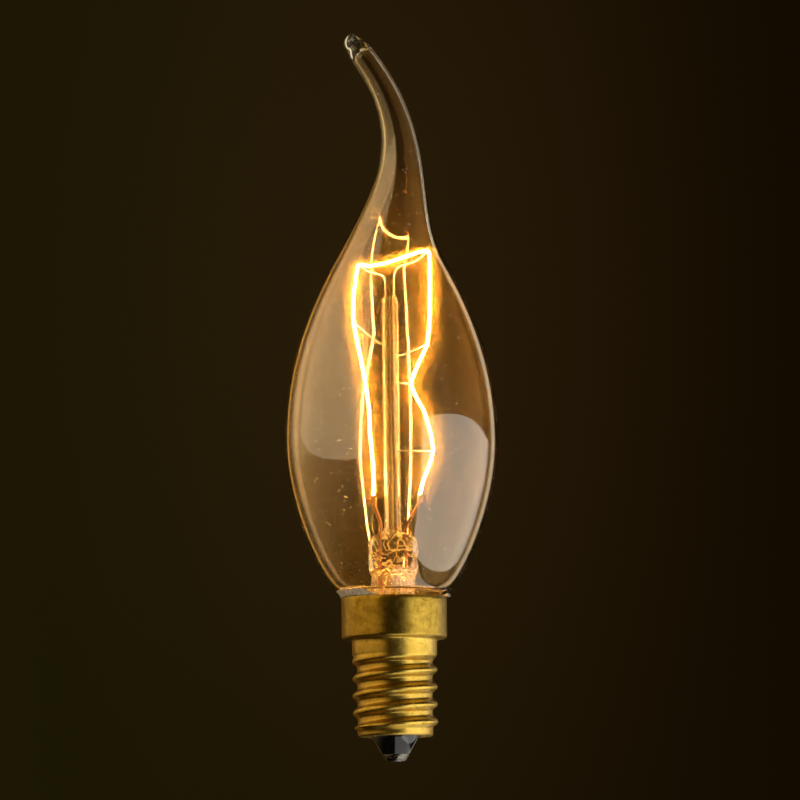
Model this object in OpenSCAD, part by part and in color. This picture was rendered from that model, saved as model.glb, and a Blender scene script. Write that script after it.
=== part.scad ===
// Filament lamp with a drawn, bent tail and an E14 screw cap.
// The origin is the lowest point of the centre contact, on the axis of the cap, and +Z runs up the lamp.
// All sizes are in millimetres and all angles in degrees.

/* [Glass bulb] */
// Widest diameter of the bulb
bulb_d = 34.8; // [30:0.1:40]
// Height of the widest place above the cap's rim
bulb_mid_h = 25.7; // [22:0.1:30]
// Wall of the blown glass
glass_wall = 0.6; // [0.4:0.05:1]
// Diameter of the bulb where its tail begins
shoulder_d = 18.1; // [16:0.1:22]
// Height above the cap's rim where the tail begins
shoulder_h = 55.2; // [50:0.1:60]
// Height that the fall from the widest place to the tail keeps its last slope
shoulder_run = 8.2; // [6:0.1:10]
// How far the widest place stays upright, below and above it
belly_run = 12; // [9:0.1:14]
// Width in which the bulb's underside leaves the rim level
bowl_lip = 1.9; // [1:0.1:3]
// Height in which the neck turns out into the underside
neck_turn = 1.9; // [1.2:0.1:2.6]

/* [Tail] */
// Height of the middle of the tip's bead above the cap's rim
tip_h = 91.2; // [84:0.1:98]
// Sideways place of the bead, left of the axis
tip_side = 5.5; // [0:0.1:10]
// Diameter of the solid bead that seals the tail
bead_d = 3; // [2.4:0.1:3.6]
// Diameter that the tail narrows down to
tail_d = 3.5; // [3:0.1:5]
// Height in which the tail loses most of its width
tail_fade = 13; // [9:0.1:16]
// Height above the shoulder to which the tail leaves the bulb upright
tail_rise = 8.2; // [4:0.1:14]
// How far right of the axis the tail is pulled before it bends over
tail_pull = 7.4; // [0:0.1:9]
// Height above the shoulder at which the tail is pulled
tail_pull_h = 20.4; // [14:0.1:26]

/* [Cap] */
// Diameter of the collar
collar_d = 17.2; // [16:0.1:19]
// Height of the collar
collar_h = 6.8; // [5.5:0.1:9]
// Plain height between the collar and the thread
land_h = 2.4; // [1.5:0.1:4]
// Crest diameter of the rolled thread
thread_d = 13.85; // [13.5:0.05:14.5]
// Root diameter of the rolled thread
thread_root_d = 12.25; // [11.9:0.05:12.6]
// Rise of the thread in one turn, to the right
thread_pitch = 2.822; // [2.4:0.001:3.2]
// Height of the threaded length
thread_h = 12.7; // [10:0.1:15]
// Angle at which the thread's crest stands at its lower end, from the right side towards the rear
thread_start = 205; // [0:1:360]
// Wall of the drawn brass shell
shell_wall = 0.3; // [0.2:0.05:0.4]
// Height of the turned-in edge below the thread
edge_h = 0.8; // [0.6:0.05:1.2]
// Diameter of the hole in the turned-in edge
edge_hole_d = 8.1; // [7:0.1:9]

/* [Contact] */
// Height of the insulator that shows below the shell
cone_h = 2.95; // [2:0.05:4]
// Diameter of the insulator where it leaves the shell
cone_top_d = 7.75; // [6.5:0.05:8]
// Diameter of the insulator at its tip
cone_tip_d = 4.8; // [4.4:0.1:6]
// Height of the insulator's flange inside the shell
flange_h = 1.8; // [1:0.1:3]
// Bore of the insulator
insulator_bore_d = 1.7; // [1.4:0.1:2.2]
// Diameter of the contact plate
plate_d = 4.3; // [3.4:0.1:4.4]
// Thickness of the contact plate
plate_h = 0.35; // [0.2:0.05:0.6]
// Height of the solder dome below the plate
dome_h = 0.8; // [0.5:0.05:1.5]
// Diameter of the flat that the dome is worn to
dome_flat_d = 1.4; // [0.8:0.1:2]

/* [Stem] */
// Gap between the collar's rim and the glass above it, where the cement shows
rim_gap = 0.8; // [0.6:0.05:1.2]
// Cement between the neck and the collar
cement_w = 0.9; // [0.6:0.05:1.2]
// Part of the bulb's underside that the cement swells up to outside the rim
cement_swell = 0.1; // [0:0.01:0.12]
// Room between the collar's floor and the flare's rim
under_flare = 1.3; // [1:0.1:2]
// Outer diameter of the stem's tube
stem_d = 7; // [6:0.1:8]
// Height of the stem's tube above the seal, up to the press
stem_h = 7.6; // [6:0.1:9]
// Wall of the stem's tube
stem_wall = 0.7; // [0.5:0.05:1]
// Width of the pinched press
press_w = 8.1; // [7.4:0.1:9]
// Thickness of the pinched press
press_t = 3.8; // [3.4:0.1:5]
// Height in which the round tube turns into the flat press
press_turn_h = 2; // [1:0.1:3]
// Height of the press's flat part
press_h = 3.6; // [3:0.1:5]
// Height of the press's domed top
press_dome_h = 2; // [1.4:0.1:3]
// Diameter of the glass rod that carries the supports
rod_d = 2.7; // [2.2:0.1:3]
// Depth of the rod's top below the bulb's shoulder
rod_drop = 6; // [3:0.1:10]
// Outer diameter of the exhaust tube
exhaust_d = 2.6; // [2.2:0.1:3]
// Bore of the exhaust tube
exhaust_bore_d = 1.6; // [1:0.1:1.8]
// Height of the exhaust tube's sealed tip above the insulator
exhaust_tip_h = 2.4; // [1.5:0.1:4]

/* [Wires] */
// Diameter of the leads inside the bulb
lead_d = 0.6; // [0.4:0.05:0.8]
// How far the right lead bows out on its way to the clamp
lead_bow = 0.5; // [0:0.1:1.5]
// Diameter of the sealing wires in the press
seal_wire_d = 0.5; // [0.4:0.05:0.7]
// Length of the sealing wires
seal_wire_h = 6.6; // [5.5:0.1:7]
// Diameter of the leads below the press
outer_lead_d = 0.4; // [0.3:0.05:0.5]
// Diameter of the support wires
support_d = 0.26; // [0.2:0.02:0.34]
// Depth of the supports' ends in the glass rod
socket_h = 0.8; // [0.5:0.05:1]
// Outer diameter of the coiled filament
filament_d = 0.5; // [0.4:0.02:0.6]
// Height of the clamps' tops above the press
clamp_rise = 8.2; // [6:0.1:11]
// Height of a clamp
clamp_h = 1.3; // [1:0.1:2]
// Length of the filament's leg in its clamp
clamp_grip = 0.9; // [0.5:0.1:1.2]
// Thickness of the lead's flattened end in the clamp
clamp_wall = 0.22; // [0.15:0.01:0.3]
// How far the clamp's pressed edges stand out from the filament
clamp_tab = 1.05; // [0.7:0.05:1.4]
// Greatest sideways reach of the filament below its right corner
fil_reach = 6.8; // [5:0.1:8]
// How far the filament bows to the front on its left and to the rear on its right
fil_bow = 0.5; // [0:0.1:1]
// Length in which the filament turns at a corner, on each side of it
fil_run = 0.6; // [0.4:0.05:1]
// Height of the filament's hooks above the shoulder
hook_rise = 1.7; // [0:0.1:3]
// Room between the filament's right corner and the glass
hook_room = 0.2; // [0.1:0.05:2]
// Height that the top supports rise straight out of the rod
support_rise = 1; // [0.5:0.1:2]
// How far behind the rod the top supports pass
support_back = 1.2; // [0.8:0.1:2]
// Room inside a support's loop round the filament
loop_room = 0.12; // [0.08:0.01:0.2]
// Room between a wire and the bore that it lies in
wire_room = 0.05; // [0.03:0.01:0.1]

/* [Solder] */
// Diameter of the solder joint on the collar's rim
joint_d = 1.9; // [1.2:0.1:2.2]

/* [Hidden] */
$fn = 72;

// Clearance between pieces that lie in each other
seat_room = 0.1;
// Sides of a swept wire, of the faceted tail and of the thread
wire_sides = 6;
tail_sides = 32;
thread_sides = 40;
// Rings of the thread in one pitch
thread_steps = 8;

// Step by which a faceted end lies inside the wall of the round piece that it joins, outside and inside,
// and the depth to which it reaches into that wall
joint_step = 0.025;
joint_step_in = 0.055;
joint_lap = 0.05;

// Heights, from the contact upwards
plate_z = dome_h;
cone_z = plate_z + plate_h;
edge_z = cone_z + cone_h;
thread_z = edge_z + edge_h;
land_z = thread_z + thread_h;
collar_z = land_z + land_h;
rim_z = collar_z + collar_h;
flange_z = edge_z + shell_wall;
bore_top_z = flange_z + flange_h;

// Glass, from the cap's rim and floor upwards
neck_r = collar_d / 2 - shell_wall - cement_w;
seal_z = collar_z + shell_wall + under_flare + glass_wall;
bowl_z = rim_z + rim_gap;
bowl_r = collar_d / 2;
mid_z = rim_z + bulb_mid_h;
shoulder_z = rim_z + shoulder_h;
shoulder_r = shoulder_d / 2;
tail_r = tail_d / 2;
bead_r = bead_d / 2;
tip_z = rim_z + tip_h;
turn_z = seal_z + stem_h;
press_z = turn_z + press_turn_h;
press_top_z = press_z + press_h;
rod_z = press_top_z + press_dome_h;
rod_top_z = shoulder_z - rod_drop;

// Slope of the tail where it leaves the shoulder, in width for height
shoulder_slope = (shoulder_r - tail_r) / tail_fade;
// Level width of the sloping wall there
shoulder_wall = glass_wall * sqrt(1 + shoulder_slope * shoulder_slope);

// Wires
lead_x = (stem_d / 2 - stem_wall + exhaust_d / 2) / 2;
wire_top_z = press_z + 0.55 * press_h;
wire_low_z = wire_top_z - seal_wire_h;
clamp_z = press_top_z + clamp_rise;
hook_z = shoulder_z + hook_rise;
duct_z = press_z + 0.4 * press_h;

// A point between a and b
function mix(a, b, t) = a + (b - a) * t;

// A vector of length 1 along v
function unit(v) = v / norm(v);

// Point at t on the curve with ends a and d and handles b and c
function bend(a, b, c, d, t) =
    pow(1 - t, 3) * a + 3 * pow(1 - t, 2) * t * b + 3 * (1 - t) * t * t * c + pow(t, 3) * d;

// Direction of that curve at t
function bend_way(a, b, c, d, t) =
    pow(1 - t, 2) * (b - a) + 2 * (1 - t) * t * (c - b) + t * t * (d - c);

// Direction to the right of the curve c at t
function bend_right(c, t) = let (w = unit(bend_way(c[0], c[1], c[2], c[3], t))) [w[1], -w[0]];

// Outline of the bulb's lower and upper half as [radius, height], with the direction at each point
bowl = [
    [bowl_r, bowl_z], [bowl_r + bowl_lip, bowl_z], [bulb_d / 2, mid_z - belly_run], [bulb_d / 2, mid_z]
];
crown = [
    [bulb_d / 2, mid_z], [bulb_d / 2, mid_z + belly_run],
    [shoulder_r + shoulder_slope * shoulder_run, shoulder_z - shoulder_run], [shoulder_r, shoulder_z]
];
neck = [
    [neck_r, bowl_z - neck_turn], [neck_r, bowl_z - 0.32 * neck_turn], [bowl_r - 0.42 * neck_turn, bowl_z],
    [bowl_r, bowl_z]
];
function stretch(c, n) = [for (i = [0:n - 1]) [
    bend(c[0], c[1], c[2], c[3], i / n), unit(bend_way(c[0], c[1], c[2], c[3], i / n))]];
skin = concat(stretch(neck, 6), stretch(bowl, 14), stretch(crown, 14));
skin_out = concat([[neck_r, seal_z]], [for (s = skin) s[0]], [[shoulder_r, shoulder_z]]);
skin_in = concat(
    [[neck_r - glass_wall, seal_z]],
    [for (s = skin) s[0] + glass_wall * [-s[1][1], s[1][0]]],
    [[shoulder_r - shoulder_wall, shoulder_z]]
);

// Radius of the tail at height z, which falls off ever more slowly
function tail_at(z) = let (s = max(0, z - shoulder_z) / tail_fade)
    tail_r + (shoulder_r - tail_r) * exp(-s - 0.12 * s * s);

// Centre line of the tail, from the shoulder to the bead, in the plane y = 0
tail_line = [
    [0, 0, shoulder_z], [0, 0, shoulder_z + tail_rise],
    [tail_pull, 0, shoulder_z + tail_pull_h], [-tip_side, 0, tip_z]
];
function tail_point(t) = bend(tail_line[0], tail_line[1], tail_line[2], tail_line[3], t);
function tail_way(t) = unit(bend_way(tail_line[0], tail_line[1], tail_line[2], tail_line[3], t));

// Direction that the tail's rings are square to: upright at the shoulder, and along the tail further up
function ring_way(t) = let (u = min(1, t / 0.6))
    unit(mix([0, 0, 1], tail_way(t), u * u * (3 - 2 * u)));

// Ring of n points with radius r round c, square to the direction w, which lies in the plane y = 0
function ring(c, w, r, n) = [for (k = [0:n - 1]) let (a = 360 * k / n)
    c + r * (cos(a) * [w[2], 0, -w[0]] + sin(a) * [0, 1, 0])];

// The ring r, lowered into the round piece below it
function lowered(r) = [for (p = r) p - [0, 0, joint_lap]];

// Triangles between ring i and ring i + 1 of n points each
function band(i, n) = [for (k = [0:n - 1]) let (a = i * n + k, b = i * n + (k + 1) % n)
    each [[a, a + n, b], [b, a + n, b + n]]];

// Points and faces of a wire with radius r through the points p, with flat ends
function wire_normals(p, ways) = [for (
    i = 0, n = unit(cross(ways[0], abs(ways[0][1]) < 0.9 ? [0, 1, 0] : [1, 0, 0]));
    i < len(p);
    i = i + 1, n = i < len(p) ? unit(n - ways[i] * (n * ways[i])) : n
) n];
function wire_ways(p) = [for (i = [0:len(p) - 1])
    unit(unit(p[min(i + 1, len(p) - 1)] - p[min(i, len(p) - 2)])
        + unit(p[max(i, 1)] - p[max(i - 1, 0)]))];
module wire(p, d) {
    ways = wire_ways(p);
    normals = wire_normals(p, ways);
    n = wire_sides;
    last = (len(p) - 1) * n;
    points = [for (i = [0:len(p) - 1]) let (side = cross(ways[i], normals[i]))
        for (k = [0:n - 1]) let (a = 360 * k / n)
            p[i] + d / 2 * (cos(a) * normals[i] + sin(a) * side)];
    faces = concat(
        [for (i = [0:len(p) - 2]) each band(i, n)],
        [for (k = [1:n - 2]) [0, k, k + 1]],
        [for (k = [1:n - 2]) [last, last + k + 1, last + k]]
    );
    polyhedron(points, faces);
}

// Way of the filament as [part of its sideways reach, part of the height from the clamps to the hooks],
// up the left strand, over the top and down the right one
left_strand = [
    [-0.456, 0], [-0.441, 0.06], [-0.471, 0.16], [-0.515, 0.24], [-0.529, 0.35], [-0.603, 0.45],
    [-0.706, 0.55], [-0.809, 0.64], [-0.882, 0.71], [-0.868, 0.82], [-0.75, 0.945]
];
top_strand = [[-0.5, 0.935], [-0.103, 0.945], [0.265, 0.965], [0.706, 0.99]];
right_strand = [
    [0.985, 0.91], [0.971, 0.81], [0.956, 0.72], [0.897, 0.615], [0.676, 0.54], [0.471, 0.455],
    [0.574, 0.41], [0.794, 0.34], [0.941, 0.25], [1, 0.18], [0.897, 0.12], [0.735, 0.055], [0.662, 0]
];
corner_x = tail_at(hook_z) - glass_wall * 1.2 - filament_d / 2 - support_d - loop_room - hook_room;
fil_way = concat(left_strand, top_strand, [[corner_x / fil_reach, 1]], right_strand);
function fil_point(q) =
    [fil_reach * q[0], fil_bow * sin(180 * q[1]) * sign(q[0]), mix(clamp_z, hook_z, q[1])];
fil_corners = [for (q = fil_way) fil_point(q)];
fil_end_left = fil_corners[0];
fil_end_right = fil_corners[len(fil_corners) - 1];

// The filament round its corner i, as three points
function fil_bend(i) =
    let (p = fil_corners[i], a = fil_corners[i - 1] - p, b = fil_corners[i + 1] - p)
    [p + fil_run * unit(a), p + fil_run / 4 * (unit(a) + unit(b)), p + fil_run * unit(b)];
corner_left = len(left_strand) - 1;
corner_right = len(left_strand) + len(top_strand);

// Support wire that leaves the rod at from, goes by way of via and hooks round the filament's corner i
function support_way(from, via, i) =
    let (bow = fil_bend(i),
        c = bow[1],
        t = unit(bow[2] - bow[0]),
        a = via[len(via) - 1],
        d0 = unit(c - a),
        d = unit(d0 - t * (d0 * t)),
        u = cross(d, t),
        r = filament_d / 2 + loop_room + support_d / 2)
    concat([from], via, [for (g = [0:36:288]) c + r * (u * cos(g) + d * sin(g))]);

// Supports from the rod's side: height as a part of the filament's, side and point of the filament
function side_way(part, side, i) =
    let (z = mix(clamp_z, hook_z, part), inner = rod_d / 2 - socket_h)
    support_way([side * inner, 0, z], [[side * (rod_d / 2 + 0.4), 0, z]], i);

// Supports out of the rod's top: straight up, then behind the filament to its corner i
top_x = rod_d / 4;
function top_way(side, i) =
    let (foot = [side * top_x, 0, rod_top_z], up = foot + [0, 0, support_rise], way = fil_corners[i] - up)
    support_way(foot - [0, 0, socket_h], [
        up, up + [0.09 * way[0], 0.25 * support_back, 0.53 * way[2]],
        up + [0.64 * way[0], support_back, 0.75 * way[2]]
    ], i);

// Parts of the filament's height at which the side supports leave the rod, and the filament's points
upper_left = [0.62, -1, 8];
upper_right = [0.57, 1, 19];
middle = [0.455, 1, 21];
lower = [0.18, 1, 25];

module socket(q) {
    inner = rod_d / 2 - socket_h;
    translate([q[1] * inner, 0, mix(clamp_z, hook_z, q[0])])
        rotate([0, 90 * q[1], 0])
            cylinder(h = rod_d, d = support_d + 2 * wire_room, $fn = 16);
}

// A lead's flattened end, folded round the filament's leg with its edges pressed together on one side
module clamp(at, side) {
    bore_d = filament_d + 2 * wire_room;
    translate([at[0], at[1], at[2] - clamp_h])
        difference() {
            linear_extrude(clamp_h) {
                circle(bore_d / 2 + clamp_wall, $fn = 32);
                translate([side > 0 ? 0 : -clamp_tab, -clamp_wall]) square([clamp_tab, 2 * clamp_wall]);
            }
            translate([0, 0, clamp_h - clamp_grip]) cylinder(h = clamp_h, d = bore_d, $fn = 24);
        }
}

// The blown bulb and its drawn tail, open at the neck
module envelope() {
    color([0.95, 0.87, 0.72, 0.35])
        union() {
            rotate_extrude() polygon(concat(skin_out, [for (i = [len(skin_in) - 1:-1:0]) skin_in[i]]));
            tail();
        }
}
module tail() {
    n = tail_sides;
    outer_steps = 16;
    inner_steps = 14;
    inner_end = 0.95;
    outer = [for (i = [0:outer_steps]) let (t = 0.97 * i / outer_steps, p = tail_point(t))
        ring(p, ring_way(t), tail_at(p[2]) - (i == 0 ? joint_step : 0), n)];
    bead = [for (a = [-24, 0, 30, 60]) ring(
        tail_point(1) + bead_r * sin(a) * tail_way(1), tail_way(1),
        bead_r * cos(a) * (a < 0 ? 1.12 : 1), n)];
    inner = [for (i = [0:inner_steps]) let (t = inner_end * i / inner_steps, p = tail_point(t))
        ring(p, ring_way(t), tail_at(p[2]) - mix(shoulder_wall, glass_wall, i / inner_steps)
            + (i == 0 ? 1.5 * joint_step_in : 0), n)];
    cavity_r = tail_at(tail_point(inner_end)[2]) - glass_wall;
    dome = ring(tail_point(inner_end) + 0.7 * cavity_r * tail_way(inner_end), tail_way(inner_end),
        0.7 * cavity_r, n);
    outer_rings = concat([lowered(outer[0])], outer, bead);
    inner_rings = concat([lowered(inner[0])], inner, [dome]);
    a = len(outer_rings);
    b = len(inner_rings);
    points = concat(
        [for (r = outer_rings) each r],
        [for (r = inner_rings) each r],
        [tail_point(1) + bead_r * tail_way(1), tail_point(inner_end) + cavity_r * tail_way(inner_end)]
    );
    faces = concat(
        [for (i = [0:a - 2]) each band(i, n)],
        [for (i = [a:a + b - 2]) for (f = band(i, n)) [f[0], f[2], f[1]]],
        [for (k = [0:n - 1]) [(a - 1) * n + k, (a + b) * n, (a - 1) * n + (k + 1) % n]],
        [for (k = [0:n - 1]) [(a + b - 1) * n + k, (a + b - 1) * n + (k + 1) % n, (a + b) * n + 1]],
        [for (k = [0:n - 1]) each [
            [k, (k + 1) % n, a * n + k],
            [a * n + k, (k + 1) % n, a * n + (k + 1) % n]]]
    );
    polyhedron(points, faces);
}

// The trumpet-shaped glass tube whose rim is melted to the neck
module stem_flare() {
    tube_r = stem_d / 2;
    flare_out = [for (i = [0:10]) bend(
        [neck_r, seal_z - glass_wall], [neck_r - 2.4, seal_z - glass_wall], [tube_r, seal_z + 1],
        [tube_r, seal_z + 4.4], i / 10)];
    flare_ways = [for (i = [0:10]) unit(bend_way(
        [neck_r, seal_z - glass_wall], [neck_r - 2.4, seal_z - glass_wall], [tube_r, seal_z + 1],
        [tube_r, seal_z + 4.4], i / 10))];
    rim_w = glass_wall + 0.15;
    color([0.95, 0.87, 0.72, 0.5])
        rotate_extrude() polygon(concat(
            [for (p = flare_out) p - [stem_wall, 0]], [[tube_r - stem_wall, turn_z], [tube_r, turn_z]],
            [for (i = [10:-1:1]) if (flare_out[i][1] > seal_z + 0.1) flare_out[i]],
            [[neck_r - rim_w, seal_z], [neck_r, seal_z], [neck_r, seal_z - glass_wall]]
        ));
}

// The pinched end of the stem, with a duct for the exhaust and bores for the wires
module stem_press() {
    color([0.95, 0.87, 0.72, 0.5])
        difference() {
            union() {
                hull() {
                    translate([0, 0, turn_z]) cylinder(h = 0.2, d = stem_d, $fn = 32);
                    press_slab(press_z, 0.1);
                }
                press_slab(press_z, press_h);
                intersection() {
                    press_slab(press_top_z, press_dome_h);
                    rotate([90, 0, 0])
                        linear_extrude(press_t, center = true)
                            press_top();
                }
            }
            translate([0, 0, turn_z - 1]) cylinder(h = duct_z - turn_z + 1, d = exhaust_bore_d, $fn = 32);
            translate([0, 0, duct_z])
                rotate([90, 0, 0]) cylinder(h = press_t, d = exhaust_bore_d, $fn = 32);
            for (side = [-1, 1]) {
                translate([side * lead_x, 0, turn_z - 1])
                    cylinder(h = wire_top_z - turn_z + 1, d = seal_wire_d + 2 * wire_room, $fn = 24);
                translate([side * lead_x, 0, wire_top_z])
                    cylinder(h = press_h + press_dome_h, d = lead_d + 2 * wire_room, $fn = 24);
            }
        }
}
module press_slab(z, h) {
    r = press_t / 2;
    translate([0, 0, z])
        linear_extrude(h) {
            square([press_w - 2 * r, press_t], center = true);
            for (side = [-1, 1]) translate([side * (press_w / 2 - r), 0]) circle(r, $fn = 48);
        }
}
module press_top() {
    flat = rod_d / 2 + 0.1;
    polygon(concat(
        [[-press_w / 2, press_top_z - 0.1], [press_w / 2, press_top_z - 0.1]],
        [for (a = [0:10:90]) [flat + (press_w / 2 - flat) * cos(a), press_top_z + press_dome_h * sin(a)]],
        [for (a = [90:10:180]) [-flat + (press_w / 2 - flat) * cos(a), press_top_z + press_dome_h * sin(a)]]
    ));
}

// The narrow tube through which the bulb was emptied, sealed at its lower end
module exhaust_tube() {
    r = exhaust_d / 2;
    bore = exhaust_bore_d / 2;
    tip_low_z = bore_top_z + exhaust_tip_h;
    color([0.95, 0.87, 0.72, 0.5])
        rotate_extrude() polygon(concat(
            [[bore, turn_z], [bore, tip_low_z + 2.4], [bore * 0.6, tip_low_z + 1.6], [0, tip_low_z + 1.2]],
            [for (a = [-90:15:0]) [r * cos(a), tip_low_z + r + r * sin(a)]],
            [[r, turn_z]]
        ));
}

// The glass rod in the middle, with a blind hole for each support
module arbor_rod() {
    color([0.98, 0.9, 0.7, 0.6])
        difference() {
            translate([0, 0, rod_z]) cylinder(h = rod_top_z - rod_z, d = rod_d);
            for (side = [-1, 1])
                translate([side * top_x, 0, rod_top_z - socket_h])
                    cylinder(h = 2 * socket_h, d = support_d + 2 * wire_room, $fn = 16);
            for (q = [upper_left, upper_right, middle, lower]) socket(q);
        }
}

// Leads between the press and the filament
module inner_lead(side, end, bow) {
    foot = end[2] - (clamp_h + clamp_grip) / 2;
    color("lightsteelblue") {
        wire([
            [side * lead_x, 0, wire_top_z], [side * lead_x, 0, rod_z + 0.3],
            [side * lead_x + bow, 0, mix(rod_z, foot, 0.35)],
            [mix(side * lead_x, end[0], 0.75), 0, mix(rod_z, foot, 0.8)],
            [end[0], end[1], foot]
        ], lead_d);
        clamp(end, side);
    }
}
module inner_lead_left() { inner_lead(-1, fil_end_left, 0); }
module inner_lead_right() { inner_lead(1, fil_end_right, lead_bow); }

// Copper-clad wires that seal in the press
module seal_wire(side) {
    color("peru")
        translate([side * lead_x, 0, wire_low_z]) cylinder(h = seal_wire_h, d = seal_wire_d, $fn = 24);
}
module seal_wire_left() { seal_wire(-1); }
module seal_wire_right() { seal_wire(1); }

// Leads from the press to the centre contact and to the collar
module outer_lead_centre() {
    color("darkgoldenrod")
        wire([
            [-lead_x, 0, wire_low_z], [-lead_x, 0, seal_z - 4],
            [-lead_x - 0.3, 0, bore_top_z + exhaust_tip_h],
            [-1.4, 0, bore_top_z + 1.2], [0, 0, bore_top_z + 0.2],
            [0, 0, flange_z], [0, 0, plate_z]
        ], outer_lead_d);
}
module outer_lead_side() {
    under = seal_z - glass_wall - under_flare / 2;
    out = neck_r + cement_w / 2;
    color("darkgoldenrod")
        wire([
            [lead_x, 0, wire_low_z], [lead_x, 0, seal_z + 1], [lead_x + 0.2, 0, under + 0.6],
            [lead_x + 0.9, 0, under], [out - 0.8, 0, under], [out - 0.15, 0, under + 0.2],
            [out, 0, under + 0.8], [out, 0, rim_z - 0.5], [out + 0.05, 0, rim_z + 0.16],
            [collar_d / 2 - 0.1, 0, rim_z + outer_lead_d / 2 + 0.03]
        ], outer_lead_d);
}

// The coiled filament, held by the clamps and carried by the supports
module filament() {
    color([1, 0.75, 0.3])
        wire(concat(
            [fil_end_left - [0, 0, clamp_grip - 0.1], fil_end_left],
            [for (i = [1:len(fil_corners) - 2]) each fil_bend(i)],
            [fil_end_right, fil_end_right - [0, 0, clamp_grip - 0.1]]
        ), filament_d);
}

module top_support_left() { color("gray") wire(top_way(-1, corner_left), support_d); }
module top_support_right() { color("gray") wire(top_way(1, corner_right), support_d); }
module side_support(q) { color("gray") wire(side_way(q[0], q[1], q[2]), support_d); }
module side_support_upper_left() { side_support(upper_left); }
module side_support_upper_right() { side_support(upper_right); }
module side_support_middle() { side_support(middle); }
module side_support_lower() { side_support(lower); }

// Radius of the thread at height z and angle a: right-handed, fading into the land and the lower edge
function thread_at(z, a) =
    let (deep = (thread_d - thread_root_d) / 2,
        wave = 0.5 - 0.5 * cos(360 * (z - thread_z) / thread_pitch - a - thread_start),
        top = min(1, max(0, (land_z - z) / (0.5 * thread_pitch))),
        low = min(1, max(0, (z - thread_z) / (0.25 * thread_pitch))))
    thread_d / 2 - deep * mix(1, wave * top, low);

// The drawn brass shell: collar, land, rolled thread and turned-in edge
module cap_shell() {
    root = thread_root_d / 2;
    land = thread_d / 2;
    collar = collar_d / 2;
    w = shell_wall;
    round_r = 0.5;
    color([0.83, 0.66, 0.27])
        union() {
            rotate_extrude() polygon(concat(
                [[land - w, land_z], [land, land_z], [land, collar_z - w], [land + 0.3, collar_z]],
                [for (a = [-90:15:0])
                    [collar - round_r * (1 - cos(a)), collar_z + round_r * (1 + sin(a))]],
                [[collar, rim_z], [collar - w, rim_z], [collar - w, collar_z + w], [land - w, collar_z + w]]
            ));
            thread_sleeve();
            rotate_extrude() polygon(concat(
                [
                    [root - w, thread_z], [root - w - 0.05, edge_z + w + 0.25],
                    [root - w - 0.3, edge_z + w], [edge_hole_d / 2, edge_z + w], [edge_hole_d / 2, edge_z]
                ],
                [for (a = [-90:18:0])
                    [root - edge_h / 2 * (1 - cos(a)), edge_z + edge_h / 2 * (1 + sin(a))]],
                [[root, thread_z]]
            ));
        }
}
module thread_sleeve() {
    n = thread_sides;
    rows = round(thread_h / thread_pitch * thread_steps);
    levels = concat([-joint_lap], [for (i = [0:rows]) thread_h * i / rows], [thread_h + joint_lap]);
    last = len(levels) - 1;
    skins = [for (inside = [false, true]) for (i = [0:last]) for (k = [0:n - 1])
        let (z = thread_z + levels[i], a = 360 * k / n,
            step = i > 1 && i < last - 1 ? 0 : inside ? joint_step_in : -joint_step,
            r = thread_at(z, a) - (inside ? shell_wall : 0) + step)
            [r * cos(a), r * sin(a), z]];
    low = (last + 1) * n;
    top = last * n;
    polyhedron(skins, concat(
        [for (i = [0:last - 1]) each band(i, n)],
        [for (i = [last + 1:2 * last]) for (f = band(i, n)) [f[0], f[2], f[1]]],
        [for (k = [0:n - 1]) let (j = (k + 1) % n) each [[k, j, low + k], [low + k, j, low + j]]],
        [for (k = [0:n - 1]) let (j = (k + 1) % n) each [
            [top + k, low + top + k, top + j], [low + top + k, low + top + j, top + j]]]
    ));
}

// The cement that fills the collar round the neck and swells out between its rim and the bulb, with a
// channel for the side lead and room for its joint
module basing_cement() {
    out = collar_d / 2 - shell_wall - 0.05;
    floor_z = collar_z + shell_wall;
    skin_room = 0.06;
    function under(c, t) = bend(c[0], c[1], c[2], c[3], t) + skin_room * bend_right(c, t);
    top = under(bowl, cement_swell);
    color("wheat")
        difference() {
            rotate_extrude() polygon(concat(
                [
                    [neck_r + skin_room, floor_z], [out, floor_z], [out, rim_z + 0.03],
                    [collar_d / 2, rim_z + 0.03], [mix(collar_d / 2, top[0], 0.35), mix(rim_z, top[1], 0.4)]
                ],
                [for (i = [4:-1:1]) under(bowl, cement_swell * i / 4)],
                [for (t = [1:-0.1:0]) under(neck, t)]
            ));
            translate([neck_r - 1, -outer_lead_d, floor_z - 1])
                cube([cement_w + 2, 2 * outer_lead_d, rim_z - floor_z + 3]);
            translate([collar_d / 2 - shell_wall - seat_room, -joint_d / 2 - seat_room, rim_z - 0.1])
                cube([2, joint_d + 2 * seat_room, rim_gap + 2]);
        }
}

// The black glass that fills the shell's lower end, with the cone that carries the contact plate
module cap_insulator() {
    bore = insulator_bore_d / 2;
    color([0.05, 0.05, 0.06])
        rotate_extrude() polygon([
            [bore, cone_z], [cone_tip_d / 2, cone_z], [cone_top_d / 2, edge_z], [cone_top_d / 2, flange_z],
            [thread_root_d / 2 - shell_wall - 0.8, flange_z],
            [thread_root_d / 2 - shell_wall - seat_room, thread_z + 0.1],
            [thread_root_d / 2 - shell_wall - seat_room, bore_top_z - 0.3],
            [thread_root_d / 2 - shell_wall - 0.4, bore_top_z], [bore, bore_top_z]
        ]);
}

// The eyelet in the cone's tip
module contact_plate() {
    shank_r = insulator_bore_d / 2 - wire_room;
    hole_r = outer_lead_d / 2 + 0.15;
    color([0.8, 0.7, 0.4])
        rotate_extrude() polygon([
            [hole_r, plate_z], [plate_d / 2 - 0.1, plate_z], [plate_d / 2, plate_z + 0.1],
            [plate_d / 2, cone_z], [shank_r, cone_z], [shank_r, cone_z + 1], [hole_r, cone_z + 1]
        ]);
}

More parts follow.
